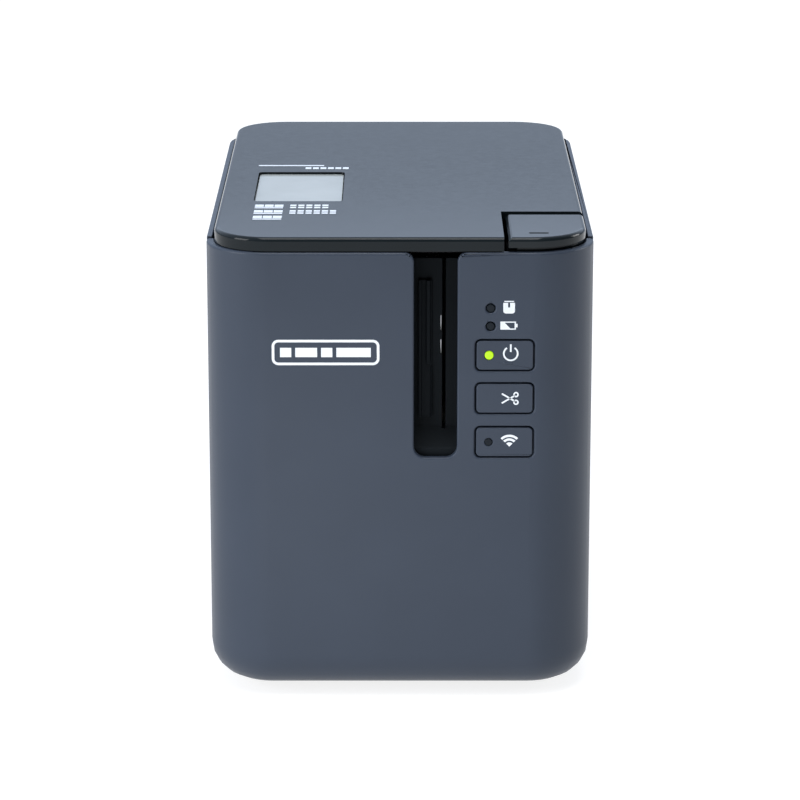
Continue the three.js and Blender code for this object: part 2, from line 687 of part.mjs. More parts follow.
function cassetteUpper() {
  const { split, z1, wall } = CASSETTE;
  const grips = [-8, 20].map((y) => block([-48.6, -47.4], [y, y + 8], [split + 4, z1 - 4]));
  const hubHole = post(TAPE_ROLL.x, TAPE_ROLL.y, TAPE_ROLL.hub - 2.6, z1 - 4, z1 + 1, 24);
  const cavity = cassetteCavity(split - 1, z1 - wall);
  return cut(plate(cassetteOutline(0), split + 0.15, z1), cavity, hubHole, ...grips);
}

function cassetteLabel() {
  const paper = plate(roundedRect(-45, 1.5, -52, 30, 2), CASSETTE.z1 + 0.15, CASSETTE.z1 + 0.75, 4);
  return cut(paper, post(TAPE_ROLL.x, TAPE_ROLL.y, TAPE_ROLL.hub - 1.6, 130, 134, 24));
}

function tapeRoll() {
  const { x, y, radius, hub } = TAPE_ROLL;
  return cut(post(x, y, radius, 88.4, 125.5, 36), post(x, y, hub, 88, 126, 24));
}

function supplySpool() {
  const { x, y, radius } = SUPPLY_SPOOL;
  return cut(post(x, y, radius, 88.4, 125.5, 24), post(x, y, 3, 88, 126, 12));
}

// ---- Print head and roller holder ----------------------------------------------------------

function headBracket() {
  const blade = block([8.2, 10.6], [-66, -44], [84.4, 131]);
  const legFoot = block([8.2, 10.6], [-66, -62.6], [77.2, 85]);
  const flange = block([4.8, 10.6], [-66, -62.6], [77.2, 79]);
  return join(blade, legFoot, flange);
}

function printHead() {
  return block([10.8, 12.3], [-57, -45.5], [86, 130]);
}

function rollerHolder() {
  const { x, y, pin, sleeve } = HOLDER_PIVOT;
  const jaw = polygon([
    [x - sleeve, y], [x + sleeve, y], [26.8, -60], [26.8, -44], [19.8, -44], [14.2, -47], [14.2, -56],
  ]);
  const body = join(
    plate(jaw, 84.4, 86.4),
    plate(jaw, 130.6, 132.4),
    block([24.8, 26.8], [-60, -44], [85, 131]),
    post(x, y, sleeve, 84.4, 132.4, 20),
  );
  const pinBore = post(x, y, pin + 0.3, 80, 140, 16);
  const shaftBore = post(PLATEN.x, PLATEN.y, PLATEN.shaft + 0.3, 80, 140, 16);
  return cut(body, pinBore, shaftBore);
}

function platenRoller() {
  const { x, y, roller, shaft } = PLATEN;
  return join(post(x, y, roller, 87, 130, 28), post(x, y, shaft, GEAR_Z.z0 + 0.2, 133, 16));
}

// ---- Cutter --------------------------------------------------------------------------------

const sectorAt = { x: CUTTER.x, y: CUTTER.z, teeth: CUTTER.sectorTeeth, phase: -Math.PI / 2 };
const cutterPinionAt = meshed(sectorAt, CUTTER.pinionTeeth, -90);

/** Gear outline extruded along Y. */
function frontGear({ x, y: z, teeth, phase }, y0, y1) {
  const geometry = new THREE.ExtrudeGeometry(gearOutline(teeth, phase), {
    depth: y1 - y0,
    bevelEnabled: false,
  });
  geometry.rotateX(Math.PI / 2);
  geometry.translate(x, y1, z);
  return solid(geometry);
}

function fixedBlade() {
  const edge = TAPE_X + 0.1;
  const outline = polygon([[2.5, 59], [21, 59], [21, 68], [edge, 70], [edge, 132.6], [2.5, 132.6]]);
  const plateBody = frontPlate(outline, ...BLADE_Y.fixed);
  return cut(plateBody, barY(CUTTER.x, CUTTER.z, CUTTER.pin + 0.3, -84, -78, 16));
}

/** Knife swung open about the pivot, with the toothed sector that drives it. */
function movingBlade() {
  const open = THREE.MathUtils.degToRad(-CUTTER.openAngle);
  const knife = polygon([[-6.2, 0], [5.5, -3], [7, 8], [4, 66], [-5, 66]].map(([u, v]) => [
    CUTTER.x + u * Math.cos(open) - v * Math.sin(open),
    CUTTER.z + u * Math.sin(open) + v * Math.cos(open),
  ]));
  const { x: pivotX, z: pivotZ } = CUTTER;
  const wedge = polygon([[pivotX, pivotZ + 6], [pivotX - 12, pivotZ - 20], [pivotX + 12, pivotZ - 20]]);
  const sector = frontGear(sectorAt, ...BLADE_Y.sector).intersect(frontPlate(wedge, ...BLADE_Y.sector));
  const hub = barY(CUTTER.x, CUTTER.z, 4.6, ...BLADE_Y.sector, 20);
  const bore = barY(CUTTER.x, CUTTER.z, CUTTER.pin + 0.3, -84, -70, 16);
  return cut(join(frontPlate(knife, ...BLADE_Y.moving), sector, hub), bore);
}

function cutterFrame() {
  const sheet = frontPlate(roundedRect(-2, 34, 38, 73.7, 3), -76.6, -75, 4);
  const pin = barY(CUTTER.x, CUTTER.z, CUTTER.pin, -81.6, -76, 16);
  const tab = block([-2, 34], [-76.6, -73.2], [71.4, 73.7]);
  return cut(join(sheet, pin, tab), barY(cutterPinionAt.x, cutterPinionAt.y, 3, -78, -74, 16));
}

function cutterPinion() {
  const { x, y: z } = cutterPinionAt;
  return join(frontGear(cutterPinionAt, -79.9, -77.2), barY(x, z, 1.1, -78, -70.5, 12));
}

/** Can motor on a horizontal axis with a blind shaft bore. */
function cutterMotor() {
  const { x, y: z } = cutterPinionAt;
  const can = barY(x, z, 11, -73, -46, 28);
  const boss = barY(x, z, 3.4, -74.6, -72, 16);
  const tail = barY(x, z, 4, -47, -44.5, 16);
  return cut(join(can, boss, tail), barY(x, z, 1.4, -76, -70, 12));
}

function feedMotor() {
  const { x, y } = pinionAt;
  const can = post(x, y, 14, 40, 72.6, 32);
  const collar = post(x, y, 3.6, 72, 76.5, 16);
  const tail = post(x, y, 5, 38, 41, 16);
  return cut(join(can, collar, tail), post(x, y, 1.4, 69.5, 80, 12));
}

// ---- Boards and sockets --------------------------------------------------------------------

function mainBoard() {
  const board = cut(
    block([-37, 37], [-30, 92], [14, 15.6]),
    ...[[-33, -22], [33, -22]].map(([x, y]) => post(x, y, 1.6, 13, 17, 12)),
  );
  const chips = [
    block([-26, -12], [20, 34], [15, 17.2]),
    block([0, 10], [14, 22], [15, 17]),
    block([-30, -22], [-10, 6], [15, 17]),
    block([18, 30], [-6, 2], [15, 24]),
    post(28, 30, 5, 15, 27, 16),
    post(28, 44, 5, 15, 27, 16),
    post(16, 52, 4, 15, 25, 16),
  ];
  return join(board, ...chips);
}

/** Metal or plastic socket body with a mouth of the given size and depth. */
function socketBody({ x, width, height }, mouth, depth) {
  const z1 = SOCKET_BASE_Z + height;
  const midZ = (SOCKET_BASE_Z + z1) / 2;
  const body = block([x - width / 2, x + width / 2], SOCKET_Y, [SOCKET_BASE_Z, z1]);
  const opening = block(
    [x - mouth.width / 2, x + mouth.width / 2],
    [SOCKET_Y[1] - depth, SOCKET_Y[1] + 1],
    [midZ - mouth.height / 2, midZ + mouth.height / 2],
  );
  return cut(body, opening);
}

function dcJack() {
  const { x, height } = SOCKETS.dc;
  const z = SOCKET_BASE_Z + height / 2;
  const body = socketBody(SOCKETS.dc, { width: 0.5, height: 0.5 }, 0.2);
  const bore = barY(x, z, 3.2, SOCKET_Y[1] - 9, SOCKET_Y[1] + 1, 24);
  return join(cut(body, bore), barY(x, z, 1, SOCKET_Y[1] - 9.5, SOCKET_Y[1] - 5, 12));
}

function usbBSocket() {
  const { x, height } = SOCKETS.usbB;
  const z = SOCKET_BASE_Z + height / 2;
  const tongue = block([x - 2.8, x + 2.8], [SOCKET_Y[1] - 9.4, SOCKET_Y[1] - 5.2], [z - 1.6, z + 1.6]);
  return join(socketBody(SOCKETS.usbB, { width: 8.6, height: 7.8 }, 9), tongue);
}

function usbASocket() {
  const { x, height } = SOCKETS.usbA;
  const z = SOCKET_BASE_Z + height / 2;
  const tongue = block([x - 5.6, x + 5.6], [SOCKET_Y[1] - 11.4, SOCKET_Y[1] - 5.2], [z + 0.2, z + 1.9]);
  return join(socketBody(SOCKETS.usbA, { width: 12.4, height: 5 }, 11), tongue);
}

function lanSocket() {
  return socketBody(SOCKETS.lan, { width: 11.8, height: 8.4 }, 12);
}

// ---- Assembly ------------------------------------------------------------------------------

const printer = new THREE.Group();
printer.name = 'label_maker';
printer.add(
  part('front_cover', frontCover(), SLATE),
  part('left_side_cover', sideCover(-1), SLATE),
  part('right_side_cover', sideCover(1), SLATE),
  part('rear_cover', rearCover(), SLATE),
  part('base_tray', baseTray(), BLACK),
  part('exit_chute', exitChute(), BLACK),
  part('tape_guide', tapeGuide(), BLACK),
  part('lid_cover', lidCover(), GLOSS, 0.2),
  part('lid_window', lidWindow(), 0xb9c3cc, 0.1),
  part('lid_inner_frame', lidInnerFrame(), BLACK),
  part('lid_hook', lidHook(), BLACK),
  part('hinge_rod', hingeRod(), STEEL, 0.3, 1),
  part('release_button', releaseButton(), GLOSS, 0.2),
  part('release_spring', releaseSpring(), STEEL, 0.3, 1),
  part('latch_slide', latchSlide(), GEAR_WHITE, 0.5),
  part('power_key', key(KEY_Z.power, LIGHT.power), SLATE),
  part('feed_cut_key', key(KEY_Z.feed, 0), SLATE),
  part('wireless_key', key(KEY_Z.wireless, LIGHT.wireless), SLATE),
  part('power_light', keyLight(KEY_Z.power, LIGHT.power), 0xb8e21c, 0.3),
  part('wireless_light', keyLight(KEY_Z.wireless, LIGHT.wireless), LENS, 0.3),
  part('cassette_light', panelLight(LIGHT.cassetteZ), LENS, 0.3),
  part('battery_light', panelLight(LIGHT.batteryZ), LENS, 0.3),
  part('power_switch', tactSwitch(KEY_Z.power), BLACK, 0.5),
  part('feed_switch', tactSwitch(KEY_Z.feed), BLACK, 0.5),
  part('wireless_switch', tactSwitch(KEY_Z.wireless), BLACK, 0.5),
  part('panel_board', panelBoard(), BOARD_GREEN),
  part('chassis_deck', chassisDeck(), 0x8d9298, 0.4, 0.6),
  part('bay_deck', bayDeck(), BLACK),
  part('cassette_case_lower', cassetteLower(), 0x2d3033),
  part('cassette_case_upper', cassetteUpper(), 0x2d3033),
  part('cassette_label', cassetteLabel(), 0xe9e9e6),
  part('tape_roll', tapeRoll(), 0xf2f1ec),
  part('ribbon_supply_spool', supplySpool(), BLACK),
  part('ribbon_takeup_spool', ribbonTakeup(), 0x1b1b1d),
  part('ribbon_spindle', ribbonSpindle(), GEAR_WHITE, 0.5),
  part('head_bracket', headBracket(), STEEL, 0.35, 1),
  part('print_head', printHead(), 0x6d4a3a, 0.3),
  part('roller_holder', rollerHolder(), 0x3a3d42, 0.5),
  part('platen_roller', platenRoller(), RUBBER, 0.8),
  part('platen_gear', boredGear(platenGearAt, PLATEN.shaft + 0.06), GEAR_WHITE, 0.5),
  part('idler_gear', boredGear(idlerAt, 1.8), GEAR_WHITE, 0.5),
  part('reduction_gear', reductionGear(), GEAR_WHITE, 0.5),
  part('motor_pinion', motorPinion(), 0xc9a24a, 0.35, 1),
  part('feed_motor', feedMotor(), STEEL, 0.35, 1),
  part('fixed_blade', fixedBlade(), STEEL, 0.25, 1),
  part('moving_blade', movingBlade(), STEEL, 0.25, 1),
  part('cutter_frame', cutterFrame(), 0x6f757b, 0.4, 1),
  part('cutter_pinion', cutterPinion(), GEAR_WHITE, 0.5),
  part('cutter_motor', cutterMotor(), STEEL, 0.35, 1),
  part('main_board', mainBoard(), BOARD_GREEN),
  part('dc_jack', dcJack(), BLACK),
  part('usb_b_socket', usbBSocket(), STEEL, 0.35, 1),
  part('usb_a_socket', usbASocket(), STEEL, 0.35, 1),
  part('lan_socket', lanSocket(), STEEL, 0.35, 1),
);
FEET.forEach((at, i) => printer.add(part(`foot_${i + 1}`, foot(at), RUBBER, 0.9)));
BASE_SCREWS.forEach((at, i) => printer.add(part(`base_screw_${i + 1}`, baseScrew(at), STEEL, 0.3, 1)));

export default printer;
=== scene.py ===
"""Desktop label maker: finished surfaces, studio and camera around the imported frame."""

import json
import math

import bmesh
import bpy
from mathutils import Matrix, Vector

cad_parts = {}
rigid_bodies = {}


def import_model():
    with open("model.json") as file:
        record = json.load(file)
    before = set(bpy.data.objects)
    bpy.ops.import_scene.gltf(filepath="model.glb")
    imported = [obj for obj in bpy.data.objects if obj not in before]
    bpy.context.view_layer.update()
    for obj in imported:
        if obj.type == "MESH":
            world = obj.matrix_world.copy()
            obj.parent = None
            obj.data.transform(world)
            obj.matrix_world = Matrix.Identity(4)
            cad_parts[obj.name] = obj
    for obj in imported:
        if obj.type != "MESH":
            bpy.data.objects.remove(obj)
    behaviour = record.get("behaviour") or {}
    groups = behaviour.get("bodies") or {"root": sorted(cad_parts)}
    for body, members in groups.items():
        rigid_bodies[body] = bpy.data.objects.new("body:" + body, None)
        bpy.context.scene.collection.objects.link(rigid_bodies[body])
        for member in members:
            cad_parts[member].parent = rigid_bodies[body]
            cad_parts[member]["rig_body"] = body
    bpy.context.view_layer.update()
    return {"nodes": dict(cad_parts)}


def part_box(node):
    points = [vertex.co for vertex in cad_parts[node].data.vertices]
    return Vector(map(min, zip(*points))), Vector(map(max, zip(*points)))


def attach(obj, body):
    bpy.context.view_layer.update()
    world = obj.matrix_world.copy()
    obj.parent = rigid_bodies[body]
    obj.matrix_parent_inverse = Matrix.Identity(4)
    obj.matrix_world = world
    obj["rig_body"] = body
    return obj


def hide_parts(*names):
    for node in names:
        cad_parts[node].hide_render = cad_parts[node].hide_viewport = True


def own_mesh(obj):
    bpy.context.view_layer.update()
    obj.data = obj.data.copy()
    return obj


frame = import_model()

MM = 0.001
FRONT_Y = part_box("front_cover")[0].y / MM
LID_TOP_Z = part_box("lid_cover")[1].z / MM
CASSETTE_LABEL_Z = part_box("cassette_label")[1].z / MM

CAMERA_LENS = 157.19
CAMERA_PLACE = (0.0, -1.117, 0.371)
CAMERA_PITCH = math.radians(15.08)


# ---- Node materials ------------------------------------------------------------------------

NOISE_SPAN = (0.3, 0.7)


def new_material(name):
    """Empty node material with its Principled shader."""
    material = bpy.data.materials.new(name)
    material.use_nodes = True
    shader = material.node_tree.nodes["Principled BSDF"]
    return material, material.node_tree, shader


def object_noise(tree, scale, detail=2.0, roughness=0.5):
    """Noise texture in object space; scale is in waves per metre."""
    coordinates = tree.nodes.new("ShaderNodeTexCoord")
    noise = tree.nodes.new("ShaderNodeTexNoise")
    noise.inputs["Scale"].default_value = scale
    noise.inputs["Detail"].default_value = detail
    noise.inputs["Roughness"].default_value = roughness
    tree.links.new(coordinates.outputs["Object"], noise.inputs["Vector"])
    return noise


def stretched_noise(tree, scale, stretch):
    """Noise drawn out along one axis, for brushing and extrusion marks."""
    coordinates = tree.nodes.new("ShaderNodeTexCoord")
    mapping = tree.nodes.new("ShaderNodeMapping")
    mapping.inputs["Scale"].default_value = stretch
    noise = tree.nodes.new("ShaderNodeTexNoise")
    noise.inputs["Scale"].default_value = scale
    noise.inputs["Detail"].default_value = 3.0
    tree.links.new(coordinates.outputs["Object"], mapping.inputs["Vector"])
    tree.links.new(mapping.outputs["Vector"], noise.inputs["Vector"])
    return noise


def map_range(tree, source, from_range, to_range):
    """Value carried over from one range to another."""
    node = tree.nodes.new("ShaderNodeMapRange")
    names = ("From Min", "From Max", "To Min", "To Max")
    for name, value in zip(names, (*from_range, *to_range)):
        node.inputs[name].default_value = value
    tree.links.new(source, node.inputs["Value"])
    return node.outputs["Result"]


def vary_colour(tree, shader, noise, colour, amount):
    """Base colour that drifts by `amount` either side of `colour`."""
    ramp = tree.nodes.new("ShaderNodeValToRGB")
    low = [channel * (1 - amount) for channel in colour]
    high = [min(1.0, channel * (1 + amount)) for channel in colour]
    for stop, position, tone in zip(ramp.color_ramp.elements, NOISE_SPAN, (low, high)):
        stop.position = position
        stop.color = (*tone, 1.0)
    tree.links.new(noise.outputs["Fac"], ramp.inputs["Fac"])
    tree.links.new(ramp.outputs["Color"], shader.inputs["Base Color"])


def vary_roughness(tree, shader, noise, low, high):
    """Roughness that follows a noise between two values."""
    roughness = map_range(tree, noise.outputs["Fac"], NOISE_SPAN, (low, high))
    tree.links.new(roughness, shader.inputs["Roughness"])


def add_bump(tree, shader, noise, strength, depth):
    """Surface relief from a noise; depth in metres."""
    bump = tree.nodes.new("ShaderNodeBump")
    bump.inputs["Strength"].default_value = strength
    bump.inputs["Distance"].default_value = depth
    tree.links.new(noise.outputs["Fac"], bump.inputs["Height"])
    tree.links.new(bump.outputs["Normal"], shader.inputs["Normal"])


def moulded_plastic(name, colour, rough=(0.42, 0.5), grain=3200, relief=0.12, ior=1.45, drift=0.03):
    """Injection-moulded plastic with a spark-eroded grain."""
    material, tree, shader = new_material(name)
    shader.inputs["IOR"].default_value = ior
    broad = object_noise(tree, 45, 3.0)
    fine = object_noise(tree, grain, 2.0, 0.6)
    vary_colour(tree, shader, broad, colour, drift)
    vary_roughness(tree, shader, fine, *rough)
    add_bump(tree, shader, fine, relief, 0.00005)
    return material


def polished_plastic(name, colour, ior, rough=(0.05, 0.12)):
    """Glossy moulding with a faint ripple and fine handling marks."""
    material, tree, shader = new_material(name)
    shader.inputs["IOR"].default_value = ior
    ripple = object_noise(tree, 60, 2.0)
    marks = object_noise(tree, 420, 4.0, 0.7)
    vary_colour(tree, shader, ripple, colour, 0.06)
    vary_roughness(tree, shader, marks, *rough)
    add_bump(tree, shader, ripple, 0.02, 0.0002)
    return material


def brushed_metal(name, colour, rough=(0.25, 0.4), stretch=(1.0, 1.0, 0.04), scale=2600):
    """Rolled or brushed metal with marks along one direction."""
    material, tree, shader = new_material(name)
    shader.inputs["Metallic"].default_value = 1.0
    marks = stretched_noise(tree, scale, stretch)
    vary_colour(tree, shader, marks, colour, 0.08)
    vary_roughness(tree, shader, marks, *rough)
    add_bump(tree, shader, marks, 0.15, 0.00004)
    return material


def soft_rubber(name, colour):
    """Dull rubber with a powdery surface."""
    material, tree, shader = new_material(name)
    shader.inputs["Sheen Weight"].default_value = 0.2
    dust = object_noise(tree, 700, 4.0, 0.7)
    vary_colour(tree, shader, dust, colour, 0.2)
    vary_roughness(tree, shader, dust, 0.7, 0.9)
    add_bump(tree, shader, dust, 0.3, 0.0001)
    return material


def circuit_board(name):
    """Solder mask with lighter copper tracks under it."""
    material, tree, shader = new_material(name)
    coordinates = tree.nodes.new("ShaderNodeTexCoord")
    tracks = tree.nodes.new("ShaderNodeTexBrick")
    tracks.inputs["Scale"].default_value = 220
    tracks.inputs["Mortar Size"].default_value = 0.06
    tracks.inputs["Color1"].default_value = (0.010, 0.085, 0.040, 1.0)
    tracks.inputs["Color2"].default_value = (0.012, 0.100, 0.048, 1.0)
    tracks.inputs["Mortar"].default_value = (0.030, 0.190, 0.085, 1.0)
    tree.links.new(coordinates.outputs["Object"], tracks.inputs["Vector"])
    tree.links.new(tracks.outputs["Color"], shader.inputs["Base Color"])
    mask = object_noise(tree, 900, 2.0)
    vary_roughness(tree, shader, mask, 0.2, 0.35)
    add_bump(tree, shader, tracks, 0.2, 0.00004)
    return material


def printed_ink(name, colour):
    """Opaque screen print with slightly uneven cover."""
    material, tree, shader = new_material(name)
    cover = object_noise(tree, 5200, 3.0)
    vary_colour(tree, shader, cover, colour, 0.03)
    vary_roughness(tree, shader, cover, 0.45, 0.6)
    return material


def window_pane(name):
    """Clear window with the pale cassette label showing dimly through it."""
    material, tree, shader = new_material(name)
    shader.inputs["IOR"].default_value = 1.49
    shader.inputs["Transmission Weight"].default_value = 0.15
    haze = object_noise(tree, 60, 2.0)
    vary_colour(tree, shader, haze, (0.45, 0.475, 0.46), 0.03)
    vary_roughness(tree, shader, haze, 0.06, 0.12)
    return material


def lens(name, colour, glow, ior=1.45):
    """Moulded light guide: lit brightly or left dark."""
    material, tree, shader = new_material(name)
    shader.inputs["IOR"].default_value = ior
    shader.inputs["Emission Color"].default_value = (*colour, 1.0)
    shader.inputs["Emission Strength"].default_value = glow
    cloud = object_noise(tree, 900, 2.0)
    vary_colour(tree, shader, cloud, colour, 0.1)
    vary_roughness(tree, shader, cloud, 0.12, 0.25)
    return material


def film_roll(name, colour):
    """Wound tape: fine rings of slightly different tone."""
    material, tree, shader = new_material(name)
    layers = stretched_noise(tree, 5200, (1.0, 1.0, 0.02))
    vary_colour(tree, shader, layers, colour, 0.12)
    vary_roughness(tree, shader, layers, 0.3, 0.5)
    add_bump(tree, shader, layers, 0.2, 0.00004)
    return material


BODY = moulded_plastic("slate_grain", (0.0322, 0.0423, 0.0617), rough=(0.36, 0.44), ior=1.33)
KEY = moulded_plastic("key_grain", (0.0313, 0.041, 0.0598), rough=(0.34, 0.42), ior=1.33)
LID = polished_plastic("lid_gloss", (0.006, 0.009, 0.011), ior=1.28)
BUTTON = polished_plastic("button_gloss", (0.009, 0.0122, 0.0144), ior=1.31)
CHUTE = moulded_plastic("chute_black", (0.0065, 0.0085, 0.0105), rough=(0.5, 0.6), ior=1.15)
BLACK = moulded_plastic("black_satin", (0.008, 0.009, 0.011), rough=(0.4, 0.55), ior=1.3)
CASSETTE = moulded_plastic("cassette_satin", (0.030, 0.032, 0.036), rough=(0.35, 0.45), grain=1800)
GEAR = moulded_plastic("acetal", (0.72, 0.70, 0.62), rough=(0.3, 0.4), grain=900, relief=0.05)
STEEL = brushed_metal("brushed_steel", (0.55, 0.56, 0.58))
ZINC = brushed_metal("zinc_plate", (0.42, 0.43, 0.44), (0.35, 0.55), stretch=(0.3, 1.0, 1.0), scale=500)
BRASS = brushed_metal("turned_brass", (0.70, 0.48, 0.18))
CERAMIC = moulded_plastic("glazed_ceramic", (0.16, 0.07, 0.04), rough=(0.1, 0.2), grain=1200, relief=0.05)
RUBBER = soft_rubber("soft_rubber", (0.014, 0.014, 0.015))
BOARD = circuit_board("solder_mask")
INK = printed_ink("white_print", (0.68, 0.72, 0.76))
LID_INK = printed_ink("lid_print", (0.68, 0.72, 0.77))
LABEL = printed_ink("label_paper", (0.74, 0.74, 0.72))
DARK_INK = printed_ink("dark_print", (0.03, 0.035, 0.045))
PANE = window_pane("window_pane")
GREEN = lens("lit_green", (0.33, 0.58, 0.002), 0.42)
DARK_LENS = lens("unlit_lens", (0.006, 0.009, 0.013), 0.0, ior=1.25)
FILM = film_roll("wound_film", (0.75, 0.74, 0.70))
RIBBON = film_roll("wound_ribbon", (0.02, 0.02, 0.022))


# ---- Carried-over CAD nodes ----------------------------------------------------------------

SHARP = math.radians(32)
FLAT = math.radians(0.4)
FRONT_EDGE = 0.6
COVER_EDGE = 0.35


def clean_copy(node_name, weld=1e-6):
    """New mesh with a CAD node's shape: joined vertices, flat faces merged, no stored normals."""
    source = bmesh.new()
    source.from_mesh(frame["nodes"][node_name].data)
    bmesh.ops.remove_doubles(source, verts=source.verts, dist=weld)
    for layer in list(source.loops.layers.uv):
        source.loops.layers.uv.remove(layer)
    bmesh.ops.dissolve_limit(
        source,
        angle_limit=FLAT,
        verts=source.verts,
        edges=source.edges,
    )
    mesh = bpy.data.meshes.new(node_name + "_finish")
    source.to_mesh(mesh)
    source.free()
    for stored in ("custom_normal", "sharp_face", "sharp_edge"):
        if stored in mesh.attributes:
            mesh.attributes.remove(mesh.attributes[stored])
    mesh.shade_smooth()
    return mesh


def finish_node(node_name, material, edge=0.25, segments=2, clamp=True):
    """Piece that stands for a CAD node with rounded edges, smooth shading and its own material."""
    piece = bpy.data.objects.new(node_name + "_finish", clean_copy(node_name))
    bpy.context.scene.collection.objects.link(piece)
    piece.data.materials.clear()
    piece.data.materials.append(material)
    if edge:
        bevel = piece.modifiers.new("edge_radius", "BEVEL")
        bevel.width = edge * MM
        bevel.segments = segments
        bevel.limit_method = "ANGLE"
        bevel.angle_limit = SHARP
        bevel.use_clamp_overlap = clamp
    else:
        piece.data.set_sharp_from_angle(angle=SHARP)
    weighted = piece.modifiers.new("flat_faces_first", "WEIGHTED_NORMAL")
    weighted.keep_sharp = True
    weighted.weight = 80
    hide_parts(node_name)
    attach(piece, frame["nodes"][node_name]["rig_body"])
    return piece


SLATE_NODES = ("front_cover", "left_side_cover", "right_side_cover", "rear_cover")
KEY_NODES = ("power_key", "feed_cut_key", "wireless_key")
DARK_LENS_NODES = ("wireless_light", "cassette_light", "battery_light")
BLACK_NODES = (
    "base_tray", "lid_inner_frame", "lid_hook", "bay_deck",
    "ribbon_supply_spool", "roller_holder", "power_switch", "feed_switch", "wireless_switch",
)
STEEL_NODES = (
    "hinge_rod", "head_bracket", "fixed_blade", "moving_blade",
    "usb_b_socket", "usb_a_socket", "lan_socket", "base_screw_1", "base_screw_2",
    "feed_motor", "cutter_motor",
)
GEAR_NODES = (
    "latch_slide", "ribbon_spindle", "platen_gear", "idler_gear", "reduction_gear", "cutter_pinion",
)
RUBBER_NODES = ("platen_roller", "foot_1", "foot_2", "foot_3", "foot_4")


def finish_exterior():
    """Covers, lid, release button, keys and lights."""
    for name in SLATE_NODES:
        edge = FRONT_EDGE if name == "front_cover" else COVER_EDGE
        finish_node(name, BODY, edge=edge, segments=3, clamp=False)
    for name in KEY_NODES:
        finish_node(name, KEY, edge=0.3, segments=3, clamp=False)
    finish_node("lid_cover", LID, edge=0.25, segments=3)
    finish_node("release_button", BUTTON, edge=0.2, segments=3)
    finish_node("lid_window", PANE, edge=0.2)
    finish_node("power_light", GREEN, edge=0.25)
    for name in DARK_LENS_NODES:
        finish_node(name, DARK_LENS, edge=0.25)


def finish_spring():
    """Release spring in steel, on a mesh copy of its own."""
    spring = finish_node("release_spring", STEEL, edge=0)
    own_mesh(spring)


def finish_interior():
    """Everything behind the covers."""
    for name in BLACK_NODES:
        finish_node(name, BLACK, edge=0.2)
    for name in ("exit_chute", "tape_guide"):
        finish_node(name, CHUTE, edge=0.2)
    for name in STEEL_NODES:
        finish_node(name, STEEL, edge=0.08)
    for name in GEAR_NODES:
        finish_node(name, GEAR, edge=0.1)
    for name in RUBBER_NODES:
        finish_node(name, RUBBER, edge=0.25)
    for name in ("chassis_deck", "cutter_frame"):
        finish_node(name, ZINC, edge=0.15)
    for name in ("cassette_case_lower", "cassette_case_upper"):
        finish_node(name, CASSETTE, edge=0.4, segments=3)
    for name in ("main_board", "panel_board"):
        finish_node(name, BOARD, edge=0.1)
    finish_spring()
    finish_node("cassette_label", LABEL, edge=0.1)
    finish_node("tape_roll", FILM, edge=0.2)
    finish_node("ribbon_takeup_spool", RIBBON, edge=0.2)
    finish_node("motor_pinion", BRASS, edge=0.1)
    finish_node("print_head", CERAMIC, edge=0.15)
    finish_node("dc_jack", BLACK, edge=0.15)


# ---- Printed marks -------------------------------------------------------------------------

PRINT_LIFT = 0.04
PRINT_DEPTH = 0.03
LID_ROW_TOP = -47.6
LID_ROW_PITCH = 8.3
LABEL_MARGIN = 2.5
RULE_COUNT = 4
RULE_PITCH = 4.0
RULE_WIDTH = 1.2
RIDGE_SINK = 0.05
RIDGE_PROFILE = ((-1.6, 0.0), (-1.3, 0.22), (1.3, 0.22), (1.6, 0.0))
RIDGE_ROWS = ((0.35, 0.5), (0.15, 1.0), (-0.15, 1.0), (-0.35, 0.5))


def mesh_from(builder, name, material):
    """Mesh made from a finished builder, in one material."""
    mesh = bpy.data.meshes.new(name)
    builder.to_mesh(mesh)
    builder.free()
    mesh.materials.append(material)
    return mesh


def riding_piece(name, mesh, body):
    """Piece in the scene that moves with a CAD body."""
    piece = bpy.data.objects.new(name, mesh)
    bpy.context.scene.collection.objects.link(piece)
    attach(piece, body)


def outline_area(points):
    """Signed area of a closed outline."""
    pairs = zip(points, points[1:] + points[:1])
    return 0.5 * sum(a[0] * b[1] - b[0] * a[1] for a, b in pairs)


def printed_piece(name, outlines, place, material, slot, body):
    """Thin raised print from closed flat outlines; `place` turns (u, v, height) into millimetres."""
    builder = bmesh.new()
    for points in outlines:
        if outline_area(points) < 0:
            points = points[::-1]
        lower = [builder.verts.new(Vector(place(u, v, PRINT_LIFT)) * MM) for u, v in points]
        upper = [builder.verts.new(Vector(place(u, v, PRINT_LIFT + PRINT_DEPTH)) * MM) for u, v in points]
        builder.faces.new(lower[::-1])
        builder.faces.new(upper)
        for i, start in enumerate(lower):
            following = (i + 1) % len(points)
            builder.faces.new((start, lower[following], upper[following], upper[i]))
    bmesh.ops.recalc_face_normals(builder, faces=builder.faces)
    riding_piece(name, mesh_from(builder, name, material), body)


def on_front(u, v, height):
    """A point on the front face, u across and v up."""
    return (u, FRONT_Y - height, v)


def on_lid(u, v, height):
    """A point on the lid's top, u across and v towards the back."""
    return (u, v, LID_TOP_Z + height)


def on_cassette(u, v, height):
    """A point on the cassette's label, u across and v towards the back."""
    return (u, v, CASSETTE_LABEL_Z + height)


def beside(node_name, across, up):
    """Point on the front face, a distance in millimetres from the middle of a CAD node."""
    low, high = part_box(node_name)
    middle = (low + high) / 2 / MM
    return (middle.x + across, middle.z + up)


def bar(u0, u1, v0, v1):
    """Rectangle outline."""
    return [(u0, v0), (u1, v0), (u1, v1), (u0, v1)]


def arc_points(centre, radius, start, end, steps):
    """Points along a circle from one angle to another, in degrees."""
    angles = [math.radians(start + (end - start) * i / steps) for i in range(steps + 1)]
    return [(centre[0] + radius * math.cos(a), centre[1] + radius * math.sin(a)) for a in angles]


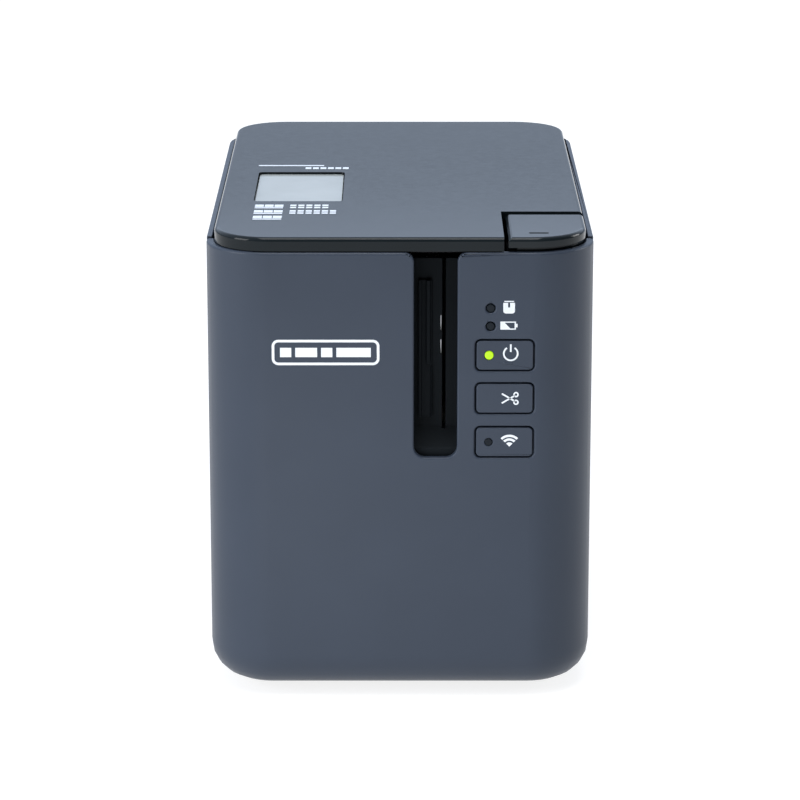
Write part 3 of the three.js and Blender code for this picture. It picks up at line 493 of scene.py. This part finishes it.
def arc_band(centre, radius, width, start, end, steps=24):
    """Band along a circle from one angle to another, in degrees."""
    outer = arc_points(centre, radius + width / 2, start, end, steps)
    inner = arc_points(centre, radius - width / 2, start, end, steps)
    return outer + inner[::-1]


def stroke(start, end, width):
    """Straight line of a given width."""
    direction = (Vector(end) - Vector(start)).normalized()
    side = Vector((-direction.y, direction.x)) * width / 2
    corners = (Vector(start) - side, Vector(end) - side, Vector(end) + side, Vector(start) + side)
    return [tuple(corner) for corner in corners]


def rounded_frame(u0, u1, v0, v1, radius, width):
    """Outline frame as four bars and four corner bands."""
    half = width / 2
    corners = (
        ((u1 - radius, v1 - radius), 0), ((u0 + radius, v1 - radius), 90),
        ((u0 + radius, v0 + radius), 180), ((u1 - radius, v0 + radius), 270),
    )
    bands = [arc_band(centre, radius, width, start, start + 90, 8) for centre, start in corners]
    bars = [
        bar(u0 + radius, u1 - radius, v0 - half, v0 + half),
        bar(u0 + radius, u1 - radius, v1 - half, v1 + half),
        bar(u0 - half, u0 + half, v0 + radius, v1 - radius),
        bar(u1 - half, u1 + half, v0 + radius, v1 - radius),
    ]
    return bands + bars


def power_symbol(centre):
    """Broken ring with a stroke at the top."""
    u, v = centre
    return [
        arc_band(centre, 2.1, 0.5, 123, 417),
        stroke((u, v + 0.5), (u, v + 2.9), 0.52),
    ]


def scissors_symbol(centre):
    """Two crossed blades with ring handles at the right."""
    u, v = centre
    return [
        stroke((u - 2.5, v + 1.5), (u + 1.4, v - 0.85), 0.5),
        stroke((u - 2.5, v - 1.5), (u + 1.4, v + 0.85), 0.5),
        arc_band((u + 1.8, v + 1.2), 0.62, 0.44, 0, 360),
        arc_band((u + 1.8, v - 1.2), 0.62, 0.44, 0, 360),
    ]


def wireless_symbol(centre):
    """Small wedge under two widening arcs."""
    foot = (centre[0], centre[1] - 1.85)
    wedge = [foot] + arc_points(foot, 1.35, 45, 135, 10)
    arcs = [arc_band(foot, radius, 0.72, 45, 135, 14) for radius in (2.25, 3.4)]
    return [wedge] + arcs


def cassette_symbol(centre):
    """Upright tape cassette: round-bottomed body with a slot left clear, under a cap line."""
    u, v = centre
    slot = 0.3
    left = [(u - slot, v + 1.35), (u - 1.75, v + 1.35)] + arc_points((u - 0.95, v - 1.15), 0.8, 180, 270, 6)
    right = [(u + slot, v + 1.35), (u + 1.75, v + 1.35)] + arc_points((u + 0.95, v - 1.15), 0.8, 0, -90, 6)
    return [
        left + [(u - slot, v - 1.95)],
        right + [(u + slot, v - 1.95)],
        bar(u - slot, u + slot, v - 1.95, v - 0.1),
        bar(u - 1.45, u + 1.45, v + 1.6, v + 1.95),
    ]


def battery_symbol(centre):
    """Battery case with a terminal and half a charge."""
    u, v = centre
    return [
        bar(u - 2.6, u + 2.1, v + 0.9, v + 1.25),
        bar(u - 2.6, u + 2.1, v - 1.25, v - 0.9),
        bar(u - 2.6, u - 2.2, v - 0.9, v + 0.9),
        bar(u + 1.7, u + 2.1, v - 0.9, v + 0.9),
        bar(u + 2.1, u + 2.6, v - 0.55, v + 0.55),
        [(u - 2.2, v - 0.9), (u + 0.4, v - 0.9), (u - 1.3, v + 0.9), (u - 2.2, v + 0.9)],
    ]


def front_pictogram():
    """Plain tape label with a row of blank blocks, in place of any mark."""
    outlines = rounded_frame(-38.3, -6.6, 107.2, 114.3, 1.6, 0.8)
    for start, end in ((-36.2, -32.8), (-31.6, -25.0), (-23.8, -20.4), (-19.2, -8.8)):
        outlines.append(bar(start, end, 109.3, 112.2))
    return outlines


def dash_row(u0, v0, v1, count, width, gap):
    """Row of equal blank blocks."""
    starts = [u0 + i * (width + gap) for i in range(count)]
    return [bar(start, start + width, v0, v1) for start in starts]


def lid_marks():
    """Blank blocks and lines around the window, in place of lettering."""
    outlines = [bar(-46.5, -25.0, 14.0, 15.6)]
    outlines += dash_row(-31.0, 9.0, 12.0, 6, 1.9, 0.55)
    for row in range(3):
        v = LID_ROW_TOP - row * LID_ROW_PITCH
        outlines += dash_row(-45.2, v - 3.5, v, 3, 2.75, 0.3)
        outlines.append(bar(-45.2, -36.4, v - 5.6, v - 4.1))
    for row, count in enumerate((5, 6)):
        v = LID_ROW_TOP - row * LID_ROW_PITCH
        outlines += dash_row(-34.2, v - 2.3, v, count, 1.9, 0.6)
        outlines += dash_row(-34.2, v - 5.4, v - 3.3, count, 1.9, 0.6)
    return outlines


def cassette_label_marks():
    """Header block, ruled lines and a direction arrow on the cassette's label."""
    low, high = (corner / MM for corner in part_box("cassette_label"))
    left = low.x + LABEL_MARGIN
    outlines = [bar(left, high.x - LABEL_MARGIN, high.y - 10.0, high.y - 3.0)]
    for row in range(RULE_COUNT):
        step = row * RULE_PITCH
        v = low.y + 18.0 - step
        outlines.append(bar(left, low.x + 19.0 + step, v, v + RULE_WIDTH))
    arrow = high.x - 9.0
    outlines.append(bar(arrow - 1.0, arrow + 1.0, low.y + 6.0, low.y + 18.0))
    outlines.append([(arrow - 3.5, low.y + 18.0), (arrow + 3.5, low.y + 18.0), (arrow, low.y + 23.5)])
    return outlines


def tactile_bar():
    """Small raised ridge under the power symbol, in the key's own plastic."""
    builder = bmesh.new()
    x, z = beside("power_key", 0.95, -2.4)
    centre = Vector((x, FRONT_Y + RIDGE_SINK, z))
    rows = []
    for up, share in RIDGE_ROWS:
        length = 0.9 + 0.1 * share
        points = [centre + Vector((u * length, -rise * share, up)) for u, rise in RIDGE_PROFILE]
        rows.append([builder.verts.new(point * MM) for point in points])
    for upper, lower in zip(rows, rows[1:]):
        for i in range(len(RIDGE_PROFILE) - 1):
            builder.faces.new((upper[i], upper[i + 1], lower[i + 1], lower[i]))
    right_end = [row[-1] for row in rows[1:]]
    left_end = [row[0] for row in rows[-2:0:-1]]
    foot = rows[0] + right_end + rows[-1][-2::-1] + left_end
    builder.faces.new(foot[::-1])
    bmesh.ops.recalc_face_normals(builder, faces=builder.faces)
    name = "power_tactile_bar"
    riding_piece(name, mesh_from(builder, name, KEY), "power")


FRONT_SYMBOLS = (
    ("cassette_symbol", cassette_symbol, "cassette_light", (5.5, 0.4), "case"),
    ("battery_symbol", battery_symbol, "battery_light", (5.5, 0.3), "case"),
    ("power_symbol", power_symbol, "power_key", (1.75, 0.6), "power"),
    ("scissors_symbol", scissors_symbol, "feed_cut_key", (1.65, 0.05), "feed_cut"),
    ("wireless_symbol", wireless_symbol, "wireless_key", (1.55, 0.45), "wireless"),
)


def print_marks():
    """All printed marks on the front, keys, lid and cassette."""
    plain = dict(place=on_front, material=INK, slot="label_white")
    printed_piece("front_pictogram", front_pictogram(), body="case", **plain)
    for name, symbol, node_name, offset, body in FRONT_SYMBOLS:
        printed_piece(name, symbol(beside(node_name, *offset)), body=body, **plain)
    printed_piece("lid_marks", lid_marks(), on_lid, LID_INK, "label_white", "lid")
    label = cassette_label_marks()
    printed_piece("cassette_marks", label, on_cassette, DARK_INK, "black_plastic", "case")


# ---- Studio --------------------------------------------------------------------------------

WALL_FRONT = (0.30, 0.32, 0.35)
WALL_BACK = (0.49, 0.58, 0.73)
HIGH_WALL_LEVEL = 2.2
WALL_CLIMB = (0.2, 0.24)
DARK_SIDE = (0.72, -0.69, 0.1)
DARK_SIDE_SPAN = (-0.1, 0.9)
DARK_SIDE_LEVEL = 0.0
WHITE = (1.0, 1.0, 1.0, 1.0)
FLOOR_GREY = (0.3, 0.3, 0.3)
FLOOR_GLOW = 0.82
FLOOR_HALF = 6.0
FLOOR_Z = -0.0002


def emission_floor():
    """Large pale floor that stays even and keeps a trace of contact shadow."""
    material, tree, shader = new_material("pale_floor")
    grain = object_noise(tree, 3.0, 2.0)
    vary_colour(tree, shader, grain, FLOOR_GREY, 0.005)
    shader.inputs["Roughness"].default_value = 0.9
    shader.inputs["Specular IOR Level"].default_value = 0.0
    shader.inputs["Emission Color"].default_value = WHITE
    shader.inputs["Emission Strength"].default_value = FLOOR_GLOW
    builder = bmesh.new()
    corners = bar(-FLOOR_HALF, FLOOR_HALF, -FLOOR_HALF, FLOOR_HALF)
    builder.faces.new([builder.verts.new((x, y, FLOOR_Z)) for x, y in corners])
    floor = bpy.data.objects.new("studio_floor", mesh_from(builder, "studio_floor", material))
    bpy.context.scene.collection.objects.link(floor)


def soft_light(name, place, target, size, watts, reflected=True):
    """Square soft box aimed at a point, unseen by the camera itself."""
    light = bpy.data.lights.new(name, "AREA")
    light.size = size
    light.energy = watts
    holder = bpy.data.objects.new(name, light)
    holder.location = place
    aim = Vector(target) - Vector(place)
    holder.rotation_euler = aim.to_track_quat("-Z", "Y").to_euler()
    holder.visible_camera = False
    holder.visible_glossy = reflected
    bpy.context.scene.collection.objects.link(holder)


def wall_colour(tree, depth):
    """Colour that runs from the front wall's to the back wall's."""
    ramp = tree.nodes.new("ShaderNodeValToRGB")
    for stop, colour in zip(ramp.color_ramp.elements, (WALL_FRONT, WALL_BACK)):
        stop.color = (*colour, 1.0)
    tree.links.new(map_range(tree, depth, (-1.0, 1.0), (0.0, 1.0)), ramp.inputs["Fac"])
    return ramp.outputs["Color"]


def wall_strength(tree, direction, height):
    """Brightness of the walls: dark towards one side, brighter above eye level."""
    towards = tree.nodes.new("ShaderNodeVectorMath")
    towards.operation = "DOT_PRODUCT"
    towards.inputs[1].default_value = Vector(DARK_SIDE).normalized()
    tree.links.new(direction, towards.inputs[0])
    shade = map_range(tree, towards.outputs["Value"], DARK_SIDE_SPAN, (1.0, DARK_SIDE_LEVEL))
    climb = map_range(tree, height, WALL_CLIMB, (1.0, HIGH_WALL_LEVEL))
    strength = tree.nodes.new("ShaderNodeMath")
    strength.operation = "MULTIPLY"
    tree.links.new(shade, strength.inputs[0])
    tree.links.new(climb, strength.inputs[1])
    return strength.outputs["Value"]


def add_backdrop(tree, walls):
    """Plain white in place of the walls wherever they are seen directly."""
    backdrop = tree.nodes.new("ShaderNodeBackground")
    backdrop.inputs["Color"].default_value = WHITE
    seen = tree.nodes.new("ShaderNodeLightPath")
    choose = tree.nodes.new("ShaderNodeMixShader")
    tree.links.new(seen.outputs["Is Camera Ray"], choose.inputs["Fac"])
    tree.links.new(walls.outputs["Background"], choose.inputs[1])
    tree.links.new(backdrop.outputs["Background"], choose.inputs[2])
    tree.links.new(choose.outputs["Shader"], tree.nodes["World Output"].inputs["Surface"])


def studio_world():
    """White backdrop, with cool, uneven studio walls for everything the object reflects."""
    world = bpy.data.worlds.new("studio_world")
    world.use_nodes = True
    tree = world.node_tree
    walls = tree.nodes["Background"]
    direction = tree.nodes.new("ShaderNodeTexCoord").outputs["Generated"]
    split = tree.nodes.new("ShaderNodeSeparateXYZ")
    tree.links.new(direction, split.inputs["Vector"])
    tree.links.new(wall_colour(tree, split.outputs["Y"]), walls.inputs["Color"])
    strength = wall_strength(tree, direction, split.outputs["Z"])
    tree.links.new(strength, walls.inputs["Strength"])
    add_backdrop(tree, walls)
    bpy.context.scene.world = world


def studio():
    """Walls, pale floor and soft boxes: left, overhead, a low fill and one for the right rim."""
    studio_world()
    emission_floor()
    soft_light("left_box", place=(-1.3, -0.75, 0.6), target=(0, 0, 0.06), size=0.8, watts=11.8)
    soft_light("overhead_box", place=(0, -0.5, 1.5), target=(0, -0.05, 0.1), size=0.8, watts=13)
    foot = (-0.01, FRONT_Y * MM, 0.01)
    soft_light("low_fill", place=(-0.06, -0.27, 0.01), target=foot, size=0.14, watts=0.30, reflected=False)
    soft_light("right_rim", place=(1.2, 0.35, 0.5), target=(0.05, 0, 0.08), size=0.5, watts=4.2)


def camera():
    """Camera level with the front face's axis, looking down at the printer."""
    lens_data = bpy.data.cameras.new("photo_camera")
    lens_data.sensor_width = 36.0
    lens_data.lens = CAMERA_LENS
    lens_data.clip_end = 50.0
    holder = bpy.data.objects.new("photo_camera", lens_data)
    holder.location = CAMERA_PLACE
    holder.rotation_euler = (math.pi / 2 - CAMERA_PITCH, 0.0, 0.0)
    bpy.context.scene.collection.objects.link(holder)
    bpy.context.scene.camera = holder
    bpy.context.scene.view_settings.view_transform = "Standard"


camera()
studio()
finish_exterior()
finish_interior()
print_marks()
tactile_bar()
